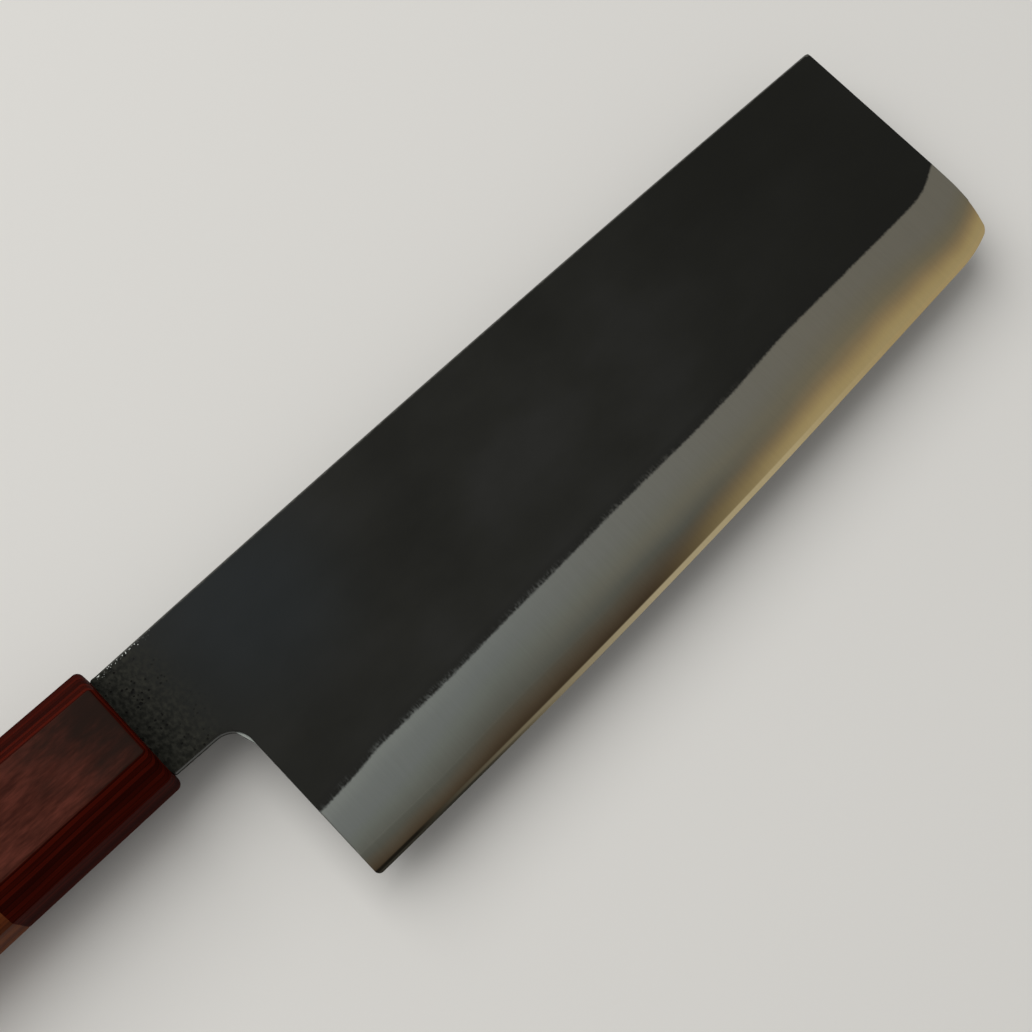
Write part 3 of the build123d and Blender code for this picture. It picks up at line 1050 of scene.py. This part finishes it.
@dataclass(frozen=True)
class ForgedIron(GroundSteel):
    """Soft cladding iron: matt black forge scale above the border, satin ground below it.

    The scale hides the metal's gleam and leaves soft clouds. A bluish painted sheen lies over the heel and
    fades to darker painted scale towards the tip. Beside the ferrule it is crusty, pitted and nicked down to
    the silvery iron along the spine.
    """

    clouds: tuple[str, ...] = ("#1c1c19", "#22221f", "#272725")
    # bluish painted sheen over the heel, strongest round the heart below
    sheen_blue: str = "#22272a"
    sheen_heart: tuple[float, float, float] = (27.0, 3.0, 0.0)
    # darker scale towards the tip, where the painted sheen fades
    sheenless_tip_black: str = "#161613"
    burnished: str = "#181816"
    olive: str = "#0e0f0a"
    ash: str = "#2d2d27"
    pit: str = "#060605"
    speck: str = "#2f2f2b"
    bare_metal: str = "#484844"
    nick: str = "#8f918d"
    gloss: float = 0.04
    scale_clouds: Sizes = (26.0, 17.0, 17.0)
    ash_mottle: Sizes = (0.7, 0.9, 0.9)
    specks: Spots = (21.0, 0.14, 0.16)
    border_fuzz: Sizes = (0.45, 0.6, 0.6)
    flare_streaks: Sizes = (0.4, 1.1, 1.1)
    flare_clusters: Sizes = (5.0, 5.0, 5.0)
    rubbed_patches: Sizes = (0.9, 0.5, 0.5)
    spine_chips: Sizes = (0.38, 0.34, 0.34)
    small_pits: Spots = (0.8, 0.25, 0.55)
    large_pits: Spots = (1.9, 0.42, 0.5)
    pit_clusters: Sizes = (3.0, 2.5, 2.5)
    crust_grains: Sizes = (0.5, 0.5, 0.5)
    crust_depth: float = 0.02
    # Coarser than the real scratches of about 0.05 mm, so that they show.
    iron_scratches: Sizes = (0.14, 5.0, 5.0)

    def spots(self, tree: Tree, cell: float, size: float, share: float) -> Socket:
        """Scattered spots with ragged borders, at most one in each cell.

        Args:
            tree: node tree.
            cell: size of a cell, in mm.
            size: radius of a spot, in mm.
            share: share of the cells that hold a spot.

        Returns:
            Mask of the spots.
        """
        place = add_node(tree, "TexCoord", output="Object")
        ragged = add_node(tree, "TexNoise", {"Vector": place, "Scale": 1 / MM / size, "Detail": 2.0}, "Color")
        strength = (size * 0.9 * MM,) * 3
        moved = add_node(tree, "VectorMath", {0: ragged, 1: strength, 2: place}, operation="MULTIPLY_ADD")
        cells = add_node(tree, "TexVoronoi", {"Vector": moved, "Scale": 1 / MM / cell}, "Distance")
        near = add_node(tree, "MapRange", {0: cells, 1: size / cell, 2: size / cell * 0.5}, **SMOOTH)
        lot = add_node(tree, "SeparateColor", {0: cells.node.outputs["Color"]})
        drawn = add_node(tree, "Math", {0: lot, 1: share}, operation="LESS_THAN")
        return add_node(tree, "Math", {0: near, 1: drawn}, operation="MULTIPLY")

    def scale_colour(self, tree: Tree, place: dict[str, Socket], beside: Socket) -> Socket:
        """Colour of the forge scale: clouds, with each tint laid on where it fades in.

        Args:
            tree: node tree.
            place: places on the blade.
            beside: how near the ferrule is.

        Returns:
            The colour.
        """
        clouds, stops = self.grain(tree, self.scale_clouds, 4.0), list(zip((0.3, 0.52, 0.72), self.clouds))
        tone = add_node(tree, "ValToRGB", {0: clouds}, stops=stops)
        spot = add_node(tree, "TexCoord", output="Object")
        heart = ((FERRULE_FACE + self.sheen_heart) * MM).tolist()
        away = add_node(tree, "VectorMath", {0: spot, 1: heart}, "Value", operation="DISTANCE")
        # the bluish tint round the heel and the darker tint towards the tip paint the sheen and its fading
        tints: dict[str, Fade] = {
            self.sheen_blue: (away, 26.0 * MM, 4.0 * MM, 0.5),
            self.sheenless_tip_black: (place["X"], 80.0, 178.0, 0.75),
            self.burnished: (place["Z"], 2.4, 0.4, 0.5),
            self.olive: (place["X"], 11.0, 0.5, 0.9),
        }
        layers = [
            (add_node(tree, "MapRange", {0: source, 1: start, 2: end, 4: highest}, **SMOOTH), linear(code))
            for code, (source, start, end, highest) in tints.items()
        ]
        mottled = self.grain(tree, self.ash_mottle, 6.0)
        ashen = add_node(tree, "MapRange", {0: mottled, 1: 0.4, 2: 0.66, 4: 0.85})
        layers.append((add_node(tree, "Math", {0: ashen, 1: beside}, operation="MULTIPLY"), linear(self.ash)))
        return self.cover(tree, tone, layers)

    def flares(self, tree: Tree, place: dict[str, Socket]) -> Socket:
        """Fuzz of faint streaks that the grinding left in the scale, up to a millimetre above the border.

        Four shares are multiplied: low over the border, within a streak, within a cluster, and away from
        the tip.

        Args:
            tree: node tree.
            place: places on the blade.

        Returns:
            Opacity of the bare metal in them.
        """
        streaks, clusters = self.grain(tree, self.flare_streaks, 4.0), self.grain(tree, self.flare_clusters)
        ranges = [
            (place["Z"], 1.4, -0.1, 0.0, 1.0),
            (streaks, 0.4, 0.68, 0.0, 1.0),
            (clusters, 0.4, 0.6, 0.1, 0.55),
            (place["X"], 150.0, 60.0, 0.0, 1.0),
        ]
        opacity = 1.0
        for values in ranges:
            share = add_node(tree, "MapRange", dict(enumerate(values)), **SMOOTH)
            opacity = add_node(tree, "Math", {0: opacity, 1: share}, operation="MULTIPLY")
        return opacity

    def worn(self, tree: Tree) -> tuple[Socket, Socket]:
        """Wear along the outline, from the masks that the piece carries.

        Args:
            tree: node tree.

        Returns:
            Where the scale is rubbed off, and where the spine is nicked to bright metal.
        """
        masks = ("bare", "nicked")
        bare, nicked = [add_node(tree, "Attribute", output="Fac", attribute_name=name) for name in masks]
        rubbed = self.grain(tree, self.rubbed_patches, 4.0)
        wear = add_node(tree, "Math", {0: rubbed, 1: 0.5, 2: bare}, operation="MULTIPLY_ADD")
        chips = self.grain(tree, self.spine_chips, 2.0)
        chipped = add_node(tree, "Math", {0: nicked, 1: 0.22, 2: chips}, operation="MULTIPLY_ADD")
        bright = add_node(tree, "MapRange", {0: chipped, 1: 0.74, 2: 0.86}, **SMOOTH)
        along_spine = add_node(tree, "MapRange", {0: nicked, 1: 0.05, 2: 0.3})
        worn = add_node(tree, "MapRange", {0: wear, 1: 0.72, 2: 1.1}, **SMOOTH)
        return worn, add_node(tree, "Math", {0: bright, 1: along_spine}, operation="MULTIPLY")

    def pitted(self, tree: Tree, beside: Socket) -> Socket:
        """Pits in clusters, small and large, in the crust beside the ferrule.

        Args:
            tree: node tree.
            beside: how near the ferrule is.

        Returns:
            Mask of the pits.
        """
        small, large = self.spots(tree, *self.small_pits), self.spots(tree, *self.large_pits)
        holes = add_node(tree, "Math", {0: small, 1: large}, operation="MAXIMUM")
        clusters = self.grain(tree, self.pit_clusters)
        gathered = add_node(tree, "MapRange", {0: clusters, 1: 0.42, 2: 0.55}, **SMOOTH)
        crusted = add_node(tree, "Math", {0: gathered, 1: beside}, operation="MULTIPLY")
        return add_node(tree, "Math", {0: holes, 1: crusted}, operation="MULTIPLY")

    def relief(self, tree: Tree, metal: Socket, pits: Socket, beside: Socket) -> Socket:
        """Bump of the surface: crust and pits in the scale, scratches square to the edge in bare metal.

        Args:
            tree: node tree.
            metal: how bare of scale the iron is.
            pits: mask of the pits.
            beside: how near the ferrule is.

        Returns:
            The normal.
        """
        fine = self.grain(tree, self.crust_grains, 5.0)
        coarse = add_node(tree, "Math", {0: beside, 1: fine, 2: fine}, operation="MULTIPLY_ADD")
        sunk = add_node(tree, "Math", {0: pits, 1: -3.0, 2: coarse}, operation="MULTIPLY_ADD")
        height = add_node(tree, "Mix", {0: metal, 2: sunk, 3: self.grain(tree, self.iron_scratches)})
        strength = add_node(tree, "MapRange", {0: metal, 3: 1.0, 4: 0.2})
        heights = {"Height": height, "Distance": self.crust_depth * MM, "Strength": strength}
        return add_node(tree, "Bump", heights)

    def paint(self, tree: Tree) -> Socket:
        """Scale and ground iron in one shader, parted by the border and by wear along the outline.

        Args:
            tree: node tree.

        Returns:
            The shader.
        """
        place = self.place(tree)
        fuzz = self.grain(tree, self.border_fuzz)
        ragged = add_node(tree, "Math", {0: fuzz, 1: 0.5, 2: place["Z"]}, operation="MULTIPLY_ADD")
        ground = add_node(tree, "MapRange", {0: ragged, 1: 0.55, 2: -0.05}, **SMOOTH)
        beside = add_node(tree, "MapRange", {0: place["X"], 1: 14.0, 2: 5.0}, **SMOOTH)
        flare, pits = self.flares(tree, place), self.pitted(tree, beside)
        worn, nick = self.worn(tree)
        ground_colour = self.ground_colour(tree, place)
        layers = [
            (flare, ground_colour),
            (self.spots(tree, *self.specks), linear(self.speck)),
            (pits, linear(self.pit)),
            (ground, ground_colour),
            (worn, linear(self.bare_metal)),
            (nick, linear(self.nick)),
        ]
        colour = self.cover(tree, self.scale_colour(tree, place, beside), layers)
        metal = ground
        for share in (worn, nick, flare):
            metal = add_node(tree, "Math", {0: metal, 1: share}, operation="MAXIMUM")
        shading = {
            "Base Color": colour,
            "Metallic": metal,
            "Roughness": add_node(tree, "MapRange", {0: metal, 3: 0.52, 4: 0.34}),
            "Specular IOR Level": self.gloss,
            "Normal": self.relief(tree, metal, pits, beside),
        }
        return add_node(tree, "BsdfPrincipled", shading)


@dataclass(frozen=True)
class Wood(Finish):
    """Sawn, planed and oiled wood: growth rings show as wavy lines and pores as short dark strokes."""

    tones: tuple[str, ...] = ("#341708", "#53260f", "#6b3816")
    ring_gap: float = 2.6
    ring_stretch: float = 0.03
    ring_tilt: tuple[float, float, float] = (0.5, 0.03, 0.02)
    roughness: float = 0.5
    gloss: float = 0.05
    growth_streaks: Sizes = (45.0, 2.4, 2.4)
    pore_strokes: Sizes = (2.4, 0.16, 0.16)
    # Real fibres are about 0.03 mm thick, too fine to show, so bundles of them are drawn.
    fibre_bundles: Sizes = (14.0, 0.35, 0.35)
    fibre_depth: float = 0.03

    def planed(self, tree: Tree, colour: Socket, fibres: Socket) -> Socket:
        """Shader of the planed surface.

        Args:
            tree: node tree.
            colour: colour of the wood.
            fibres: noise of the fibres.

        Returns:
            The shader.
        """
        heights = {"Height": fibres, "Distance": self.fibre_depth * MM, "Strength": 0.6}
        shading = {"Base Color": colour, "Roughness": self.roughness, "Specular IOR Level": self.gloss}
        return add_node(tree, "BsdfPrincipled", {**shading, "Normal": add_node(tree, "Bump", heights)})

    def paint(self, tree: Tree) -> Socket:
        """Rings, streaks, fibres and pores along the handle.

        Args:
            tree: node tree.

        Returns:
            The shader.
        """
        place = add_node(tree, "TexCoord", output="Object")
        gap = 1 / MM / self.ring_gap
        sizes = (gap * self.ring_stretch, gap, gap)
        turned = add_node(tree, "Mapping", {0: place, "Rotation": self.ring_tilt, "Scale": sizes})
        waves = {"Vector": turned, "Scale": 0.16, "Distortion": 3.0, "Detail": 2.0, "Detail Scale": 1.2}
        rings = add_node(tree, "TexWave", waves, "Fac", bands_direction="Z")
        streaks = self.grain(tree, self.growth_streaks, 2.0)
        uneven = add_node(tree, "Mix", {0: 0.55, 2: rings, 3: streaks})
        fibres = self.grain(tree, self.fibre_bundles)
        mixed = add_node(tree, "Mix", {0: 0.6, 2: uneven, 3: fibres})
        tone = add_node(tree, "ValToRGB", {0: mixed}, stops=list(zip((0.3, 0.5, 0.7), self.tones)))
        strokes = self.grain(tree, self.pore_strokes, 2.0)
        pores = add_node(tree, "MapRange", {0: strokes, 1: 0.64, 2: 0.72, 4: 0.6})
        return self.planed(tree, self.cover(tree, tone, [(pores, linear(self.tones[0]))]), fibres)


@dataclass(frozen=True)
class LaminatedWood(Wood):
    """Dyed birch veneers pressed with resin, planed and polished.

    The chamfers cut through the plies and show them as fine dark lines in deep red. The side flats are
    given paler, pinkish tones, a painted sheen on the same wood, and are stained with smoky streaks.
    """

    tones: tuple[str, ...] = ("#230502", "#300803", "#430e05")
    # paler pinkish tones of the side flats: a painted sheen on the same wood as the chamfers
    sheen_face_tones: tuple[str, ...] = ("#371a14", "#46231b", "#552b22")
    smoke: str = "#221915"
    smoke_reach: float = 20.0
    glue: str = "#120301"
    ply: float = 0.62
    ply_drift: float = 1.3
    face_depth: float = 9.72
    face_blend: float = 0.12
    gloss: float = 0.008
    ply_clouds: Sizes = (30.0, 12.0, 12.0)
    fibre_bundles: Sizes = (8.0, 0.3, 0.3)
    fibre_depth: float = 0.02
    face_fibres: Sizes = (2.6, 0.45, 0.45)
    face_mottle: Sizes = (6.0, 2.2, 2.2)
    smoke_streaks: Sizes = (4.2, 1.7, 1.7)

    def sheen_face_colour(self, tree: Tree, parts: dict[str, Socket], fibres: Socket) -> Socket:
        """Side flats in paler tones that paint their sheen, mottled along the grain and smoky towards a
        slanted front.

        Args:
            tree: node tree.
            parts: X and Y of the point, in metres.
            fibres: fine noise of the ply.

        Returns:
            The colour.
        """
        stained = add_node(tree, "Mix", {0: 0.5, 2: fibres, 3: self.grain(tree, self.face_mottle, 4.0)})
        stops = list(zip((0.36, 0.5, 0.64), self.sheen_face_tones))
        face = add_node(tree, "ValToRGB", {0: stained}, stops=stops)
        slanted = add_node(tree, "Math", {0: parts["Y"], 1: 0.5, 2: parts["X"]}, operation="MULTIPLY_ADD")
        front = (FERRULE_FACE[0] + FERRULE_FACE[1] / 2.0) * MM
        back = front - self.smoke_reach * MM
        ahead = add_node(tree, "MapRange", {0: slanted, 1: back, 2: front, 4: 0.55})
        streaks = self.grain(tree, self.smoke_streaks, 6.0)
        lifted = add_node(tree, "Math", {0: streaks, 1: 0.6, 2: ahead}, operation="MULTIPLY_ADD")
        smoky = add_node(tree, "MapRange", {0: lifted, 1: 0.28, 2: 0.84, 4: 0.95}, **SMOOTH)
        return self.cover(tree, face, [(smoky, linear(self.smoke))])

    def paint(self, tree: Tree) -> Socket:
        """Plies stacked through the thickness, glue lines between them, and side flats painted paler for
        their sheen.

        Args:
            tree: node tree.

        Returns:
            The shader.
        """
        place = add_node(tree, "TexCoord", output="Object")
        parts = dict(add_node(tree, "SeparateXYZ", {0: place}).node.outputs.items())
        side = add_node(tree, "Math", {0: parts["Z"], 1: FERRULE_FACE[2] * MM}, operation="SUBTRACT")
        counted = add_node(tree, "Math", {0: side, 1: 1 / MM / self.ply}, operation="MULTIPLY")
        drift = self.grain(tree, self.ply_clouds, 2.0)
        stacked = add_node(tree, "Math", {0: drift, 1: self.ply_drift, 2: counted}, operation="MULTIPLY_ADD")
        number = add_node(tree, "Math", {0: stacked}, operation="FLOOR")
        within = add_node(tree, "Math", {0: stacked}, operation="FRACT")
        ply_tone = add_node(tree, "TexWhiteNoise", {"W": number}, "Value", noise_dimensions="1D")
        fibres = self.grain(tree, self.fibre_bundles, 4.0)
        mixed = add_node(tree, "Mix", {0: 0.45, 2: ply_tone, 3: fibres})
        tone = add_node(tree, "ValToRGB", {0: mixed}, stops=list(zip((0.25, 0.5, 0.75), self.tones)))
        depth = add_node(tree, "Math", {0: side}, operation="ABSOLUTE")
        start, end = self.face_depth * MM, (self.face_depth + self.face_blend) * MM
        # the side flats get the paler tones, a painted sheen
        on_sheen_face = add_node(tree, "MapRange", {0: depth, 1: start, 2: end}, **SMOOTH)
        face = self.sheen_face_colour(tree, parts, self.grain(tree, self.face_fibres, 4.0))
        seam = add_node(tree, "MapRange", {0: within, 1: 0.22, 2: 0.06, 4: 0.75}, **SMOOTH)
        layers = [(seam, linear(self.glue)), (on_sheen_face, face)]
        return self.planed(tree, self.cover(tree, tone, layers), fibres)


@dataclass(frozen=True)
class BeddingResin(Finish):
    """Cured bedding adhesive around the tang: dark amber, cloudy with trapped air."""

    clouds: tuple[str, ...] = ("#1a1109", "#3d2a17")
    air_clouds: Sizes = (3.0, 3.0, 3.0)
    roughness: float = 0.35

    def paint(self, tree: Tree) -> Socket:
        """Soft clouds in a smooth, slightly glossy mass.

        Args:
            tree: node tree.

        Returns:
            The shader.
        """
        cloudy = self.grain(tree, self.air_clouds, 4.0)
        tone = add_node(tree, "ValToRGB", {0: cloudy}, stops=list(zip((0.35, 0.65), self.clouds)))
        return add_node(tree, "BsdfPrincipled", {"Base Color": tone, "Roughness": self.roughness})


# Studio


@dataclass(frozen=True)
class Studio:
    """Pale floor, soft light and the camera at the photograph's angle."""

    floor_colour: str = "#dedcd7"
    backdrop_colour: str = "#eeede9"
    floor_size: float = 6.0
    floor_roughness: float = 0.9
    floor_gloss: float = 0.2
    world_light: float = 0.36
    eye: tuple[float, float, float] = (-0.017934, -0.050742, 0.261394)
    aim: tuple[float, float, float] = (0.047219, -0.000997, 0.011)
    roll: float = 8.68
    lens: float = 52.84
    clip: tuple[float, float] = (0.01, 20.0)
    softbox_place: tuple[float, float, float] = (-0.25, 0.75, 1.15)
    softbox_aim: tuple[float, float, float] = (0.0, 0.0, 0.0)
    softbox_size: float = 1.5
    softbox_radiance: float = 2.45

    def build_floor(self) -> None:
        """Lay a wide pale floor at the knife's lowest face."""
        half = self.floor_size / 2.0
        mesh = bpy.data.meshes.new("floor")
        corners = [(-half, -half, 0.0), (half, -half, 0.0), (half, half, 0.0), (-half, half, 0.0)]
        mesh.from_pydata(corners, [], [(0, 1, 2, 3)])
        material = bpy.data.materials.new("matt_paper_floor")
        material.use_nodes = True
        shader = material.node_tree.nodes["Principled BSDF"]
        shader.inputs["Base Color"].default_value = linear(self.floor_colour)
        shader.inputs["Roughness"].default_value = self.floor_roughness
        shader.inputs["Specular IOR Level"].default_value = self.floor_gloss
        mesh.materials.append(material)
        floor = bpy.data.objects.new("floor", mesh)
        bpy.context.scene.collection.objects.link(floor)

    def build_world(self) -> None:
        """Even light all round, which the camera and the metal see as a pale backdrop."""
        world = bpy.data.worlds.new("studio")
        bpy.context.scene.world = world
        world.use_nodes = True
        tree = world.node_tree
        tree.nodes.clear()
        rays = add_node(tree, "LightPath").node.outputs
        seen = add_node(tree, "Math", {0: rays["Is Camera Ray"], 1: rays["Is Glossy Ray"]}, operation="ADD")
        through = {0: seen, 1: rays["Is Transmission Ray"]}
        shown = add_node(tree, "Math", through, operation="ADD", use_clamp=True)
        light = add_node(tree, "Background", {"Color": (1.0, 1.0, 1.0, 1.0), "Strength": self.world_light})
        backdrop = add_node(tree, "Background", {"Color": linear(self.backdrop_colour), "Strength": 1.0})
        surroundings = add_node(tree, "MixShader", {0: shown, 1: light, 2: backdrop})
        add_node(tree, "OutputWorld", {"Surface": surroundings})

    def build_lamps(self) -> None:
        """Hang one large soft box over the spine side."""
        lamp = bpy.data.lights.new("softbox", "AREA")
        lamp.shape = "SQUARE"
        lamp.size = self.softbox_size
        lamp.energy = self.softbox_radiance * math.pi * self.softbox_size**2
        box = bpy.data.objects.new("softbox", lamp)
        box.location = self.softbox_place
        beam = Vector(self.softbox_aim) - Vector(self.softbox_place)
        box.rotation_euler = beam.to_track_quat("-Z", "Y").to_euler()
        bpy.context.scene.collection.objects.link(box)

    def build_camera(self) -> None:
        """Set up the camera from its place, what it looks at and its roll about that line."""
        data = bpy.data.cameras.new("camera")
        data.lens = self.lens
        data.clip_start, data.clip_end = self.clip
        camera = bpy.data.objects.new("camera", data)
        forward = (Vector(self.aim) - Vector(self.eye)).normalized()
        level = forward.cross(Vector((0.0, 0.0, 1.0))).normalized()
        roll = math.radians(self.roll)
        right = level * math.cos(roll) + level.cross(forward) * math.sin(roll)
        turn = Matrix([right, right.cross(forward), -forward]).transposed().to_4x4()
        camera.matrix_world = Matrix.Translation(self.eye) @ turn
        bpy.context.scene.collection.objects.link(camera)
        bpy.context.scene.camera = camera

    def build(self) -> None:
        """Build floor, world, lamps and camera."""
        self.build_floor()
        self.build_world()
        self.build_lamps()
        self.build_camera()
        bpy.context.scene.view_settings.view_transform = "Standard"


def dress_hidden(node: str, finish: Finish) -> None:
    """Give a CAD node that stays as it is its own finish.

    Args:
        node: name of the node.
        finish: its finish.
    """
    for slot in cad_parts[node].material_slots:
        slot.material = finish.material()
    log.info("%s: keeps its CAD shape", node)


def main() -> None:
    """Build the camera and studio, then the knife, piece by piece."""
    logging.basicConfig(level=logging.INFO, format="%(name)s: %(message)s")
    Studio().build()
    # the iron's bluish heel and darker tip are a painted sheen
    # the steel's golden low bevel band is a painted reflection of warm light
    steel, iron = GroundSteel("stoned_carbon_steel_painted_reflection"), ForgedIron("forged_iron_with_scale_painted_sheen")
    # the ferrule's paler side flats are a painted sheen
    laminate, chestnut = LaminatedWood("laminated_birch_dyed_red_painted_sheen"), Wood("oiled_chestnut")
    Blade().build(steel.material(), iron.material())
    Handle().build(laminate.material(), chestnut.material())
    pale = Wood("bare_magnolia", tones=("#8f7a57", "#b9a27c", "#cdb98f"), roughness=0.7)
    dress_hidden("tang_dowel", pale)
    dress_hidden("tang_adhesive", BeddingResin("cured_bedding_resin"))
    log.info("size written")


if __name__ == "__main__":
    main()
